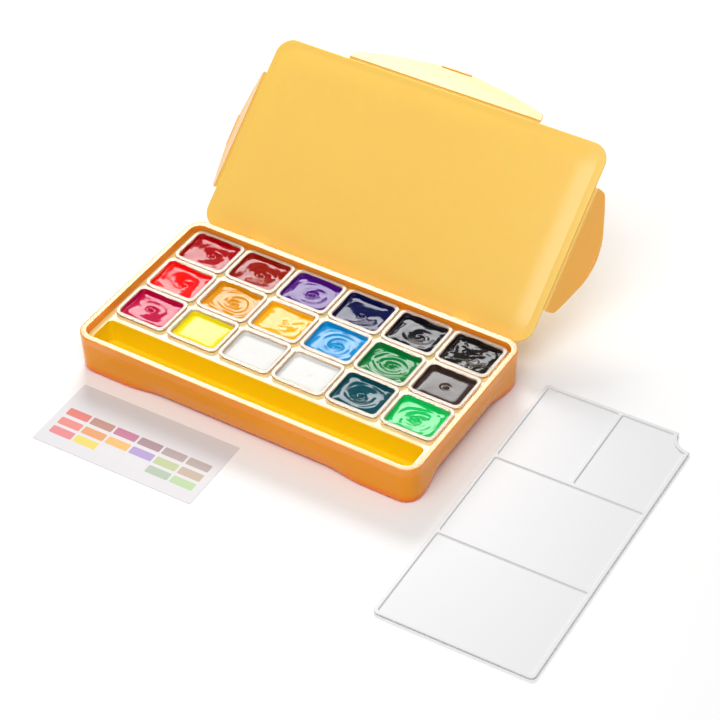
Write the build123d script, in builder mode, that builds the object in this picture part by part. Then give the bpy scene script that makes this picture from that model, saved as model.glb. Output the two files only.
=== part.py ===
from build123d import *
from math import atan, cos, degrees, radians, sin, tan
import os

# Gouache paint set box: a moulded tray with 18 lift-out cups and a brush trough, a hinged lid with
# three closing flaps, a mixing palette and a colour card. Millimetres, +Z up, +X to the right along
# the long side, +Y to the back. The origin is the centre of the tray's footprint, on the table.

# ---------------------------------------------------------------- driving dimensions
# tray
TRAY_LENGTH = 310.0
TRAY_DEPTH = 169.7
TRAY_HEIGHT = 35.6
TRAY_CORNER = 14.0
TRAY_DRAFT_INSET = 0.93
TRAY_WALL = 2.0
TRAY_FOOT_ROUND = 3.0
TRAY_RIM_ROUND = 1.6
RIM_MOUTH_ROUND = 0.8
RIM_HALF_MOUTH_X = 149.3
RIM_FRONT_Y = -78.7
RIM_BACK_Y = 78.2
RIM_CORNER = 8.0
RIM_INNER_WALL = 1.8
DECK_Z = 28.5
DECK_THICKNESS = 1.8
RIB_THICKNESS = 1.6

# finger scoops low in the wall: flat to FLAT, gone at REACH, measured from the middle of the side
SCOOP_TOP_Z = 19.0
SCOOP_SPILL = 6.0
SCOOP_CLEARANCE = 0.3
SCOOP_OVERRUN = 1.0
SIDE_SCOOP_FLAT = 38.0
SIDE_SCOOP_REACH = 66.0
SIDE_SCOOP_DEPTH = 4.5
SIDE_SCOOP_RAISE = 2.4
FRONT_SCOOP_FLAT = 74.0
FRONT_SCOOP_REACH = 108.0
FRONT_SCOOP_DEPTH = 3.8
FRONT_SCOOP_RAISE = 1.4
FADED_SCOOP = 0.35

# brush trough
TROUGH_HALF_LENGTH = 144.6
TROUGH_FRONT_Y = -77.9
TROUGH_BACK_Y = -50.0
TROUGH_CORNER = 4.0
TROUGH_FLOOR_Z = 8.0
TROUGH_TAPER = 2.0
TROUGH_WALL = 1.5

# cups
CUP_COLUMN_PITCH = 49.0
CUP_ROW_PITCH = 41.0
CUP_GRID_Y = 17.2
CUP_FLANGE_X = 47.6
CUP_FLANGE_Y = 39.6
CUP_FLANGE_CORNER = 6.0
CUP_FLANGE_TOP_Z = 31.8
CUP_FLANGE_THICKNESS = 1.6
CUP_BODY_X = 43.2
CUP_BODY_Y = 35.6
CUP_BODY_CORNER = 5.0
CUP_BOTTOM_ROUND = 1.5
CUP_TAPER = 5.3
CUP_WALL = 1.0
CUP_BOTTOM_Z = 3.4
POCKET_CLEARANCE = 0.3
POCKET_FLOOR_Z = 3.3
POCKET_WALL = 1.2
PAINT_LEVEL_Z = 28.0
PAINT_GAP = 0.05

# lid and its hinges
LID_LENGTH = 308.0
LID_DEPTH = 168.4
LID_CORNER = 15.0
LID_THICKNESS = 2.0
LID_EDGE_ROUND = 0.7
LID_OPEN_ANGLE = 140.65
LID_HINGE_EDGE_Y = 92.4
LID_HINGE_EDGE_Z = 29.2
CROWN_HEIGHT = 1.2
CROWN_BORDER = 6.5
CROWN_SLOPE = 17.0
HINGE_Y = 87.0
HINGE_Z = 31.0
HINGE_X = 95.0
KNUCKLE_RADIUS = 2.0
LID_KNUCKLE_LENGTH = 14.0
TRAY_KNUCKLE_LENGTH = 9.6
KNUCKLE_GAP = 0.4
GUSSET_DROP = 6.0
PIN_RADIUS = 1.1
PIN_RUNNING_CLEARANCE = 0.06
STOP_WIDTH = 12.0
STOP_REACH = 4.5
STOP_TOP_Z = 27.0
STOP_BOTTOM_Z = 18.0
STOP_GAP = 0.06

# closing flaps
FLAP_THICKNESS = 1.6
FLAP_REACH = 24.6
FLAP_WALL_GAP = 0.25
FLAP_HINGE_GAP = 0.4
CREASE_THICKNESS = 0.5
CREASE_ROOT = 0.8
CREASE_DROP = 0.1
SIDE_FLAP_HALF = 52.8
SIDE_FLAP_CENTRE = 82.0
SIDE_FLAP_LEAN = 52.0
FRONT_FLAP_HALF = 89.5
FRONT_FLAP_LEAN = 32.0
HOOK_HALF_LENGTH = 14.0
HOOK_HEIGHT = 1.2
HOOK_WIDTH = 2.0
HOOK_SETBACK = 0.6

# loose pieces
PALETTE_X = 129.0
PALETTE_Y = 275.0
PALETTE_HEIGHT = 2.5
PALETTE_FLOOR = 1.2
PALETTE_RIM = 3.0
PALETTE_CORNER = 4.0
PALETTE_WELL_CORNER = 2.0
PALETTE_NOTCH = 16.0
PALETTE_CENTRE = (243.3, -49.9)
PALETTE_TURN = 1.4
DIVIDER_BACK_Y = 47.0
DIVIDER_FRONT_Y = -44.5
DIVIDER_LONG_X = 1.0
CARD_X = 145.0
CARD_Y = 69.5
CARD_THICKNESS = 0.4
CARD_CORNER = 4.0
CARD_CENTRE = (-63.9, -131.8)
CARD_TURN = 1.0

PAINT_NAMES = [
    ["magenta", "lemon_yellow", "white_left", "white_right", "dark_teal", "emerald"],
    ["bright_red", "ochre", "golden_yellow", "sky_blue", "green", "umber"],
    ["dark_red", "red_brown", "purple", "navy", "blue_black", "black"],
]

# ---------------------------------------------------------------- derived sizes
PICK_MARGIN = 0.01
TRAY_DRAFT = degrees(atan(TRAY_DRAFT_INSET / TRAY_HEIGHT))
HALF_X = TRAY_LENGTH / 2
HALF_Y = TRAY_DEPTH / 2
RIM_MOUTH_Y = RIM_BACK_Y - RIM_FRONT_Y
RIM_CENTRE_Y = (RIM_BACK_Y + RIM_FRONT_Y) / 2
TROUGH_Y = TROUGH_BACK_Y - TROUGH_FRONT_Y
TROUGH_CENTRE_Y = (TROUGH_BACK_Y + TROUGH_FRONT_Y) / 2
UNDERSIDE_Z = DECK_Z - DECK_THICKNESS
FLANGE_UNDERSIDE_Z = CUP_FLANGE_TOP_Z - CUP_FLANGE_THICKNESS
CUP_DRAFT_RATE = 2 * tan(radians(CUP_TAPER))
LID_TILT = radians(180.0 - LID_OPEN_ANGLE)
SIDE_CREASE_U = HALF_X + FLAP_WALL_GAP + FLAP_THICKNESS / 2
CREASE_W = -LID_THICKNESS / 2 - CREASE_DROP
CUP_COLUMNS = [(column - 2.5) * CUP_COLUMN_PITCH for column in range(6)]
CUP_ROWS = [CUP_GRID_Y + (row - 1) * CUP_ROW_PITCH for row in range(3)]

lid_plane = Plane(
    origin=(0, LID_HINGE_EDGE_Y, LID_HINGE_EDGE_Z),
    x_dir=(1, 0, 0),
    z_dir=(0, -sin(LID_TILT), cos(LID_TILT)),
)
hinge_in_lid = lid_plane.to_local_coords(Vector(0, HINGE_Y, HINGE_Z))
FRONT_CREASE_V = HALF_Y + FLAP_WALL_GAP + FLAP_THICKNESS / 2 + HINGE_Y + hinge_in_lid.Y


def write(piece, name):
    """Name a finished piece and write it as its own file."""
    piece.part.label = name
    export_step(piece.part, f"parts/{name}.step")


os.makedirs("parts", exist_ok=True)


# ---------------------------------------------------------------- tray
def scoop(side_centre, along, outward, flat, reach, depth, backing, bottom):
    """Wedge that leans the wall inwards below SCOOP_TOP_Z; backing moves it in to leave a wall."""
    with BuildPart() as wedge:
        for height in (bottom, SCOOP_TOP_Z):
            inset = TRAY_DRAFT_INSET * (1 - height / TRAY_HEIGHT) + backing - SCOOP_CLEARANCE
            origin = side_centre - outward * inset + Vector(0, 0, height)
            dip = depth * (1 - height / SCOOP_TOP_Z) + FADED_SCOOP
            spill = SCOOP_SPILL if backing == 0 else backing / 2
            with BuildSketch(Plane(origin=origin, x_dir=along, z_dir=along.cross(outward))):
                with BuildLine():
                    Spline(
                        (-reach, 0), (-flat, -dip), (flat, -dip), (reach, 0),
                        tangents=[(1, 0)] * 4,
                    )
                    Polyline((reach, 0), (reach, spill), (-reach, spill), (-reach, 0))
                make_face()
        loft()
    return wedge.part


def scoop_arch(side_centre, along, outward, flat, reach, rise, depth):
    """Low arch that lifts the wall's bottom edge off the table under a scoop."""
    with BuildPart() as arch:
        with BuildSketch(Plane(origin=side_centre, x_dir=along, z_dir=outward)):
            with BuildLine():
                Spline((-reach, 0), (-flat, rise), (flat, rise), (reach, 0), tangents=[(1, 0)] * 4)
                Polyline((reach, 0), (reach, -rise), (-reach, -rise), (-reach, 0))
            make_face()
        extrude(amount=-(depth + 2 * TRAY_WALL + TRAY_DRAFT_INSET))
    return arch.part


SIDES = [
    (Vector(HALF_X, 0, 0), Vector(0, 1, 0), Vector(1, 0, 0),
     SIDE_SCOOP_FLAT, SIDE_SCOOP_REACH, SIDE_SCOOP_DEPTH, SIDE_SCOOP_RAISE),
    (Vector(-HALF_X, 0, 0), Vector(0, -1, 0), Vector(-1, 0, 0),
     SIDE_SCOOP_FLAT, SIDE_SCOOP_REACH, SIDE_SCOOP_DEPTH, SIDE_SCOOP_RAISE),
    (Vector(0, -HALF_Y, 0), Vector(1, 0, 0), Vector(0, -1, 0),
     FRONT_SCOOP_FLAT, FRONT_SCOOP_REACH, FRONT_SCOOP_DEPTH, FRONT_SCOOP_RAISE),
]

SCOOPS = [
    (
        scoop(centre, along, outward, flat, reach, depth, TRAY_WALL, 0),
        scoop(centre, along, outward, flat, reach, depth, 0, -SCOOP_OVERRUN),
        scoop_arch(centre, along, outward, flat, reach, rise, depth),
    )
    for centre, along, outward, flat, reach, depth, rise in SIDES
]
FULL_GRID = [(x, y) for y in CUP_ROWS for x in CUP_COLUMNS]
POCKET_X = CUP_BODY_X + 2 * POCKET_CLEARANCE
POCKET_Y = CUP_BODY_Y + 2 * POCKET_CLEARANCE
POCKET_CORNER = CUP_BODY_CORNER + POCKET_CLEARANCE

with BuildPart() as base_tray:
    # outer body, drafted so that it leaves its mould, with a rounded foot
    with BuildSketch(Plane.XY.offset(TRAY_HEIGHT)):
        RectangleRounded(TRAY_LENGTH, TRAY_DEPTH, TRAY_CORNER)
    extrude(amount=-TRAY_HEIGHT, taper=TRAY_DRAFT)
    fillet(base_tray.faces().sort_by(Axis.Z)[0].edges(), TRAY_FOOT_ROUND)
    fillet(base_tray.faces().sort_by(Axis.Z)[-1].edges(), TRAY_RIM_ROUND)
    # sunk deck inside the rim
    with BuildSketch(Plane.XY.offset(DECK_Z)):
        with Locations((0, RIM_CENTRE_Y)):
            RectangleRounded(2 * RIM_HALF_MOUTH_X, RIM_MOUTH_Y, RIM_CORNER)
    extrude(amount=TRAY_HEIGHT - DECK_Z, mode=Mode.SUBTRACT)
    mouth = (
        base_tray.edges()
        .filter_by_position(Axis.Z, TRAY_HEIGHT - PICK_MARGIN, TRAY_HEIGHT + PICK_MARGIN)
        .filter_by_position(Axis.X, -RIM_HALF_MOUTH_X - PICK_MARGIN, RIM_HALF_MOUTH_X + PICK_MARGIN)
        .filter_by_position(Axis.Y, RIM_FRONT_Y - PICK_MARGIN, RIM_BACK_Y + PICK_MARGIN)
    )
    fillet(mouth, RIM_MOUTH_ROUND)
    # open underside
    with BuildSketch(Plane.XY):
        RectangleRounded(
            TRAY_LENGTH - 2 * (TRAY_DRAFT_INSET + TRAY_WALL),
            TRAY_DEPTH - 2 * (TRAY_DRAFT_INSET + TRAY_WALL),
            TRAY_CORNER - TRAY_WALL,
        )
    extrude(amount=UNDERSIDE_Z, taper=-TRAY_DRAFT, mode=Mode.SUBTRACT)
    # hollow inside the raised rim
    with BuildSketch(Plane.XY.offset(UNDERSIDE_Z)):
        RectangleRounded(TRAY_LENGTH - 2 * TRAY_WALL, TRAY_DEPTH - 2 * TRAY_WALL, TRAY_CORNER - TRAY_WALL)
        with Locations((0, RIM_CENTRE_Y)):
            RectangleRounded(
                2 * (RIM_HALF_MOUTH_X + RIM_INNER_WALL),
                RIM_MOUTH_Y + 2 * RIM_INNER_WALL,
                RIM_CORNER + RIM_INNER_WALL,
                mode=Mode.SUBTRACT,
            )
    extrude(amount=TRAY_HEIGHT - TRAY_WALL - UNDERSIDE_Z, mode=Mode.SUBTRACT)
    # wall behind each scoop, then the scoop itself and its arch
    for backing, wedge, arch in SCOOPS:
        add(backing)
        add(wedge, mode=Mode.SUBTRACT)
        add(arch, mode=Mode.SUBTRACT)
    # stiffening ribs under the deck, along and across, which also stand on the table
    with BuildSketch(Plane.XY):
        with Locations((0, (CUP_ROWS[0] + CUP_ROWS[1]) / 2)):
            Rectangle(TRAY_LENGTH - 2 * (SIDE_SCOOP_DEPTH + TRAY_WALL), RIB_THICKNESS)
        with Locations((0, (TROUGH_BACK_Y + HALF_Y - TRAY_WALL) / 2)):
            Rectangle(RIB_THICKNESS, HALF_Y - TRAY_WALL - TROUGH_BACK_Y)
    extrude(amount=DECK_Z - DECK_THICKNESS / 2)
    # pocket shells and trough shell hanging under the deck
    with BuildSketch(Plane.XY.offset(DECK_Z)):
        with Locations(*FULL_GRID):
            RectangleRounded(
                POCKET_X + 2 * POCKET_WALL, POCKET_Y + 2 * POCKET_WALL, POCKET_CORNER + POCKET_WALL
            )
    extrude(amount=-(DECK_Z - POCKET_FLOOR_Z + POCKET_WALL), taper=CUP_TAPER)
    with BuildSketch(Plane.XY.offset(DECK_Z)):
        with Locations((0, TROUGH_CENTRE_Y)):
            RectangleRounded(
                2 * (TROUGH_HALF_LENGTH + TROUGH_WALL),
                TROUGH_Y + 2 * TROUGH_WALL,
                TROUGH_CORNER + TROUGH_WALL,
            )
    extrude(amount=-(DECK_Z - TROUGH_FLOOR_Z + TROUGH_WALL), taper=TROUGH_TAPER)
    # the hollows
    with BuildSketch(Plane.XY.offset(DECK_Z)):
        with Locations(*FULL_GRID):
            RectangleRounded(POCKET_X, POCKET_Y, POCKET_CORNER)
    extrude(amount=-(DECK_Z - POCKET_FLOOR_Z), taper=CUP_TAPER, mode=Mode.SUBTRACT)
    with BuildSketch(Plane.XY.offset(DECK_Z)):
        with Locations((0, TROUGH_CENTRE_Y)):
            RectangleRounded(2 * TROUGH_HALF_LENGTH, TROUGH_Y, TROUGH_CORNER)
    extrude(amount=-(DECK_Z - TROUGH_FLOOR_Z), taper=TROUGH_TAPER, mode=Mode.SUBTRACT)
    # two pairs of hinge knuckles on the back wall, and a stop under each lid knuckle
    for hinge_x in (-HINGE_X, HINGE_X):
        for side in (-1, 1):
            reach_in = LID_KNUCKLE_LENGTH / 2 + KNUCKLE_GAP
            near_x = hinge_x + side * (reach_in + TRAY_KNUCKLE_LENGTH / 2)
            with BuildSketch(Plane(origin=(near_x, 0, 0), x_dir=(0, 1, 0), z_dir=(1, 0, 0))):
                with Locations((HINGE_Y, HINGE_Z)):
                    Circle(KNUCKLE_RADIUS)
                with BuildLine():
                    Polyline(
                        (HINGE_Y, HINGE_Z + KNUCKLE_RADIUS),
                        (HALF_Y - TRAY_WALL, HINGE_Z + KNUCKLE_RADIUS),
                        (HALF_Y - TRAY_WALL, HINGE_Z - GUSSET_DROP),
                        (HALF_Y, HINGE_Z - GUSSET_DROP),
                        (HINGE_Y + KNUCKLE_RADIUS, HINGE_Z),
                        (HINGE_Y, HINGE_Z),
                        close=True,
                    )
                make_face()
                with Locations((HINGE_Y, HINGE_Z)):
                    Circle(PIN_RADIUS, mode=Mode.SUBTRACT)
            extrude(amount=TRAY_KNUCKLE_LENGTH / 2, both=True)
        # the stop's sloping face lies along the lid knuckle's underside when the lid is open
        slope = Vector(0, sin(LID_TILT), -cos(LID_TILT))
        across = Vector(0, -cos(LID_TILT), -sin(LID_TILT))
        on_slope = Vector(0, HINGE_Y, HINGE_Z) + across * (KNUCKLE_RADIUS + STOP_GAP)
        top_run = (STOP_TOP_Z - on_slope.Z) / slope.Z
        tip_run = (HALF_Y + STOP_REACH - on_slope.Y) / slope.Y
        top = on_slope + slope * top_run
        tip = on_slope + slope * tip_run
        with BuildSketch(Plane(origin=(hinge_x, 0, 0), x_dir=(0, 1, 0), z_dir=(1, 0, 0))):
            with BuildLine():
                Polyline(
                    (HALF_Y - TRAY_WALL, STOP_TOP_Z),
                    (top.Y, top.Z),
                    (tip.Y, tip.Z),
                    (HALF_Y - TRAY_WALL / 2, STOP_BOTTOM_Z),
                    (HALF_Y - TRAY_WALL, STOP_BOTTOM_Z),
                    close=True,
                )
            make_face()
        extrude(amount=STOP_WIDTH / 2, both=True)
write(base_tray, "base_tray")

# ---------------------------------------------------------------- hinge pins
PIN_LENGTH = LID_KNUCKLE_LENGTH + 2 * (KNUCKLE_GAP + TRAY_KNUCKLE_LENGTH)
for pin_name, hinge_x in (("hinge_pin_left", -HINGE_X), ("hinge_pin_right", HINGE_X)):
    with BuildPart() as hinge_pin:
        with BuildSketch(Plane(origin=(hinge_x, HINGE_Y, HINGE_Z), z_dir=(1, 0, 0))):
            Circle(PIN_RADIUS)
        extrude(amount=PIN_LENGTH / 2, both=True)
    write(hinge_pin, pin_name)

# ---------------------------------------------------------------- cups and paint
INNER_CORNER = CUP_BODY_CORNER - CUP_WALL
for row_names, cup_y in zip(PAINT_NAMES, CUP_ROWS):
    for paint_name, cup_x in zip(row_names, CUP_COLUMNS):
        with BuildPart() as cup:
            with BuildSketch(Plane((cup_x, cup_y, FLANGE_UNDERSIDE_Z))):
                RectangleRounded(CUP_BODY_X, CUP_BODY_Y, CUP_BODY_CORNER)
            extrude(amount=-(FLANGE_UNDERSIDE_Z - CUP_BOTTOM_Z), taper=CUP_TAPER)
            fillet(cup.faces().sort_by(Axis.Z)[0].edges(), CUP_BOTTOM_ROUND)
            with BuildSketch(Plane((cup_x, cup_y, FLANGE_UNDERSIDE_Z))):
                RectangleRounded(CUP_FLANGE_X, CUP_FLANGE_Y, CUP_FLANGE_CORNER)
            extrude(amount=CUP_FLANGE_THICKNESS)
            with BuildSketch(Plane((cup_x, cup_y, CUP_FLANGE_TOP_Z))):
                RectangleRounded(CUP_BODY_X - 2 * CUP_WALL, CUP_BODY_Y - 2 * CUP_WALL, INNER_CORNER)
            extrude(
                amount=-(CUP_FLANGE_TOP_Z - CUP_BOTTOM_Z - CUP_WALL),
                taper=CUP_TAPER,
                mode=Mode.SUBTRACT,
            )
        write(cup, f"cup_{paint_name}")

        paint_drop = CUP_DRAFT_RATE * (CUP_FLANGE_TOP_Z - PAINT_LEVEL_Z)
        paint_x = CUP_BODY_X - 2 * (CUP_WALL + PAINT_GAP) - paint_drop
        paint_y = CUP_BODY_Y - 2 * (CUP_WALL + PAINT_GAP) - paint_drop
        with BuildPart() as paint:
            with BuildSketch(Plane((cup_x, cup_y, PAINT_LEVEL_Z))):
                RectangleRounded(paint_x, paint_y, INNER_CORNER - paint_drop / 2)
            extrude(
                amount=-(PAINT_LEVEL_Z - CUP_BOTTOM_Z - CUP_WALL - PAINT_GAP), taper=CUP_TAPER
            )
        write(paint, f"paint_{paint_name}")

# ---------------------------------------------------------------- lid
CROWN_X = LID_LENGTH - 2 * CROWN_BORDER
CROWN_V = LID_DEPTH - 2 * CROWN_BORDER
CROWN_CORNER = LID_CORNER - CROWN_BORDER
BARREL_V = hinge_in_lid.Y
BARREL_W = hinge_in_lid.Z
with BuildPart() as lid:
    with BuildSketch(lid_plane):
        with Locations((0, LID_DEPTH / 2)):
            RectangleRounded(LID_LENGTH, LID_DEPTH, LID_CORNER)
    extrude(amount=-LID_THICKNESS)
    outer_face = lid.faces().sort_by(Axis(lid_plane.origin, lid_plane.z_dir))[0]
    fillet(outer_face.edges(), LID_EDGE_ROUND)
    # low crown on the inner face
    with BuildSketch(lid_plane):
        with Locations((0, LID_DEPTH / 2)):
            RectangleRounded(CROWN_X, CROWN_V, CROWN_CORNER)
    with BuildSketch(lid_plane.offset(CROWN_HEIGHT)):
        with Locations((0, LID_DEPTH / 2)):
            RectangleRounded(CROWN_X - 2 * CROWN_SLOPE, CROWN_V - 2 * CROWN_SLOPE, CROWN_CORNER)
    loft()
    # thin bending creases that carry the flaps
    with BuildSketch(lid_plane.offset(CREASE_W - CREASE_THICKNESS / 2)):
        for side in (-1, 1):
            with Locations((side * (LID_LENGTH / 2 + SIDE_CREASE_U - FLAP_HINGE_GAP) / 2, SIDE_FLAP_CENTRE)):
                Rectangle(
                    SIDE_CREASE_U - FLAP_HINGE_GAP - LID_LENGTH / 2 + CREASE_ROOT, 2 * SIDE_FLAP_HALF
                )
        with Locations((0, (LID_DEPTH + FRONT_CREASE_V - FLAP_HINGE_GAP) / 2)):
            Rectangle(2 * FRONT_FLAP_HALF, FRONT_CREASE_V - FLAP_HINGE_GAP - LID_DEPTH + CREASE_ROOT)
    extrude(amount=CREASE_THICKNESS)
    # knuckle arms, which reach past the back edge and round the hinge axis
    for hinge_x in (-HINGE_X, HINGE_X):
        arm_plane = Plane(
            origin=lid_plane.from_local_coords(Vector(hinge_x, 0, 0)),
            x_dir=lid_plane.y_dir,
            z_dir=lid_plane.x_dir,
        )
        with BuildSketch(arm_plane):
            with Locations((BARREL_V, BARREL_W)):
                Circle(KNUCKLE_RADIUS)
            with BuildLine():
                Polyline(
                    (BARREL_V - KNUCKLE_RADIUS, BARREL_W),
                    (BARREL_V - KNUCKLE_RADIUS, -LID_THICKNESS),
                    (CREASE_ROOT, -LID_THICKNESS),
                    (CREASE_ROOT, 0),
                    (BARREL_V + KNUCKLE_RADIUS, 0),
                    (BARREL_V + KNUCKLE_RADIUS, BARREL_W),
                    close=True,
                )
            make_face()
            with Locations((BARREL_V, BARREL_W)):
                Circle(PIN_RADIUS + PIN_RUNNING_CLEARANCE, mode=Mode.SUBTRACT)
        extrude(amount=LID_KNUCKLE_LENGTH / 2, both=True)
write(lid, "lid")


# ---------------------------------------------------------------- closing flaps
def flap_plane(outward, crease_point, lean):
    """Plane of a flap that leans back from the lid: x away from its crease, z its inner side."""
    inward = lid_plane.z_dir
    return Plane(
        origin=lid_plane.from_local_coords(crease_point),
        x_dir=outward * cos(radians(lean)) - inward * sin(radians(lean)),
        z_dir=inward * cos(radians(lean)) + outward * sin(radians(lean)),
    )


# half outline of each flap as (distance from the crease, distance from its middle)
SIDE_BELL = [(8.6, 50.0), (13.4, 40.0), (17.8, 29.0), (22.3, 17.0)]
FRONT_BELL = [(8.6, 86.0), (13.8, 67.0), (19.3, 40.0), (23.3, 16.0)]
SHOULDER_REACH = 5.0
SHOULDER_DRAW_IN = 1.2
FLAPS = [
    ("flap_front", lid_plane.y_dir, Vector(0, FRONT_CREASE_V, CREASE_W),
     FRONT_FLAP_LEAN, FRONT_FLAP_HALF, FRONT_BELL),
    ("flap_left", -lid_plane.x_dir, Vector(-SIDE_CREASE_U, SIDE_FLAP_CENTRE, CREASE_W),
     SIDE_FLAP_LEAN, SIDE_FLAP_HALF, SIDE_BELL),
    ("flap_right", lid_plane.x_dir, Vector(SIDE_CREASE_U, SIDE_FLAP_CENTRE, CREASE_W),
     SIDE_FLAP_LEAN, SIDE_FLAP_HALF, SIDE_BELL),
]
for flap_name, outward, crease_point, lean, half, bell in FLAPS:
    plane = flap_plane(outward, crease_point, lean)
    far_side = [(reach, -along) for reach, along in reversed(bell)]
    shoulder = (SHOULDER_REACH, half - SHOULDER_DRAW_IN)
    other_shoulder = (SHOULDER_REACH, SHOULDER_DRAW_IN - half)
    with BuildPart() as flap:
        with BuildSketch(plane.offset(-FLAP_THICKNESS / 2)):
            with BuildLine():
                Spline([shoulder] + bell + [(FLAP_REACH, 0)] + far_side + [other_shoulder])
                Polyline(other_shoulder, (FLAP_HINGE_GAP, -half), (FLAP_HINGE_GAP, half), shoulder)
            make_face()
        extrude(amount=FLAP_THICKNESS)
        # hook along the middle of the free edge
        with BuildSketch(plane.offset(FLAP_THICKNESS / 2)):
            with Locations((FLAP_REACH - HOOK_SETBACK - HOOK_WIDTH / 2, 0)):
                Rectangle(HOOK_WIDTH, 2 * HOOK_HALF_LENGTH)
        extrude(amount=HOOK_HEIGHT)
    write(flap, flap_name)

# ---------------------------------------------------------------- mixing palette
palette_plane = Plane(
    origin=(*PALETTE_CENTRE, 0),
    x_dir=(cos(radians(PALETTE_TURN)), sin(radians(PALETTE_TURN)), 0),
    z_dir=(0, 0, 1),
)
WELL_HALF_X = PALETTE_X / 2 - PALETTE_RIM
WELL_HALF_Y = PALETTE_Y / 2 - PALETTE_RIM
HALF_DIVIDER = PALETTE_RIM / 2
WELLS = [
    (-WELL_HALF_X, WELL_HALF_X, -WELL_HALF_Y, DIVIDER_FRONT_Y - HALF_DIVIDER),
    (-WELL_HALF_X, WELL_HALF_X, DIVIDER_FRONT_Y + HALF_DIVIDER, DIVIDER_BACK_Y - HALF_DIVIDER),
    (-WELL_HALF_X, DIVIDER_LONG_X - HALF_DIVIDER, DIVIDER_BACK_Y + HALF_DIVIDER, WELL_HALF_Y),
    (DIVIDER_LONG_X + HALF_DIVIDER, WELL_HALF_X, DIVIDER_BACK_Y + HALF_DIVIDER, WELL_HALF_Y),
]
notch_corner = (PALETTE_X / 2, PALETTE_Y / 2)
with BuildPart() as mixing_palette:
    with BuildSketch(palette_plane):
        RectangleRounded(PALETTE_X, PALETTE_Y, PALETTE_CORNER)
        with Locations(notch_corner):
            Circle(PALETTE_NOTCH, mode=Mode.SUBTRACT)
    extrude(amount=PALETTE_HEIGHT)
    with BuildSketch(palette_plane.offset(PALETTE_FLOOR)):
        for left, right, front, back in WELLS:
            with Locations(((left + right) / 2, (front + back) / 2)):
                RectangleRounded(right - left, back - front, PALETTE_WELL_CORNER)
        with Locations(notch_corner):
            Circle(PALETTE_NOTCH + PALETTE_RIM, mode=Mode.SUBTRACT)
    extrude(amount=PALETTE_HEIGHT - PALETTE_FLOOR, mode=Mode.SUBTRACT)
write(mixing_palette, "mixing_palette")

# ---------------------------------------------------------------- colour card
card_plane = Plane(
    origin=(*CARD_CENTRE, 0),
    x_dir=(cos(radians(CARD_TURN)), sin(radians(CARD_TURN)), 0),
    z_dir=(0, 0, 1),
)
with BuildPart() as colour_card:
    with BuildSketch(card_plane):
        RectangleRounded(CARD_X, CARD_Y, CARD_CORNER)
    extrude(amount=CARD_THICKNESS)
write(colour_card, "colour_card")
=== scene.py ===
"""Gouache paint set box: the finished look of every piece, built round its CAD frame.

Pieces are modelled in millimetres, in the frame's own axes, and scaled to metres when they are done.
"""

import logging
import math
from dataclasses import dataclass
from enum import Enum
from typing import Any, Callable, Sequence

import bmesh
import bpy
from mathutils import Matrix, Vector, noise
from bpy.types import Material, Node, NodeSocket as Socket, NodeTree as Tree, Object as Piece


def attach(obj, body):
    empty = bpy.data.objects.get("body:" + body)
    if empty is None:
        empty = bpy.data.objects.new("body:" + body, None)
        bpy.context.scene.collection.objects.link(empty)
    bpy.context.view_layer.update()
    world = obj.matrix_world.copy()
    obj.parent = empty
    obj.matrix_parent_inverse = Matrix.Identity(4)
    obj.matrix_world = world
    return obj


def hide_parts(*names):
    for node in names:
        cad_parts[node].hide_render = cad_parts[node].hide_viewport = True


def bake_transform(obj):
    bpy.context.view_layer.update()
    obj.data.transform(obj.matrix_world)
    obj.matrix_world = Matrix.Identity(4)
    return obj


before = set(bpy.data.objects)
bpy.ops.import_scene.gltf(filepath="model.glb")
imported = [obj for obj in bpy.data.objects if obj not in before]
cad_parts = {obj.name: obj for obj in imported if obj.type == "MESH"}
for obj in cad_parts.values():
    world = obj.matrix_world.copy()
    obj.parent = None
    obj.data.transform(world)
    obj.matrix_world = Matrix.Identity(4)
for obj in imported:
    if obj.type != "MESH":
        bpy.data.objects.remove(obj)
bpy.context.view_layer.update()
MM = 0.001
LOG = logging.getLogger("paint_box")

# --- sizes that pieces share, in mm
TRAY_HALF_X = 155.0
TRAY_HALF_Y = 84.85
TRAY_HEIGHT = 35.6
TRAY_DRAFT_INSET = 0.93
DECK_Z = 28.5
CUP_COLUMNS = [(column - 2.5) * 49.0 for column in range(6)]
CUP_ROWS = [17.2 + (row - 1) * 41.0 for row in range(3)]
CUP_TOP = 31.8
CUP_TAPER = math.tan(math.radians(5.3))
TROUGH_TAPER = 0.035
HINGE_AXIS = Vector((0.0, 87.0, 31.0))
HINGE_XS = (-95.0, 95.0)
KNUCKLE_RADIUS = 2.0
LID_TILT = math.radians(39.35)
LID_EDGE = Vector((0.0, 92.4, 29.2))
LID_ALONG = Vector((0.0, math.cos(LID_TILT), math.sin(LID_TILT)))
LID_INWARD = Vector((0.0, -math.sin(LID_TILT), math.cos(LID_TILT)))
LID_PLACE = Matrix.Translation(LID_EDGE) @ Matrix.Rotation(LID_TILT, 4, "X")


# --- small sums
def smoothstep(value: float) -> float:
    """Ease a value from 0 to 1, flat at both ends."""
    value = min(1.0, max(0.0, value))
    return value * value * (3.0 - 2.0 * value)


def bell(distance: float, flat: float, reach: float) -> float:
    """Give 1 up to flat and 0 past reach, with a soft shoulder between."""
    return smoothstep((reach - abs(distance)) / (reach - flat))


def inside_rounded(x: float, y: float, half_x: float, half_y: float, corner: float) -> float:
    """Measure how far a point lies inside a rounded rectangle centred on zero.

    Args:
        x: place across.
        y: place along.
        half_x: half the width.
        half_y: half the depth.
        corner: corner radius.

    Returns:
        The distance to the outline, positive inside.
    """
    over_x = abs(x) - half_x + corner
    over_y = abs(y) - half_y + corner
    outside = math.hypot(max(over_x, 0.0), max(over_y, 0.0))
    return corner - outside - min(max(over_x, over_y), 0.0)


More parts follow.
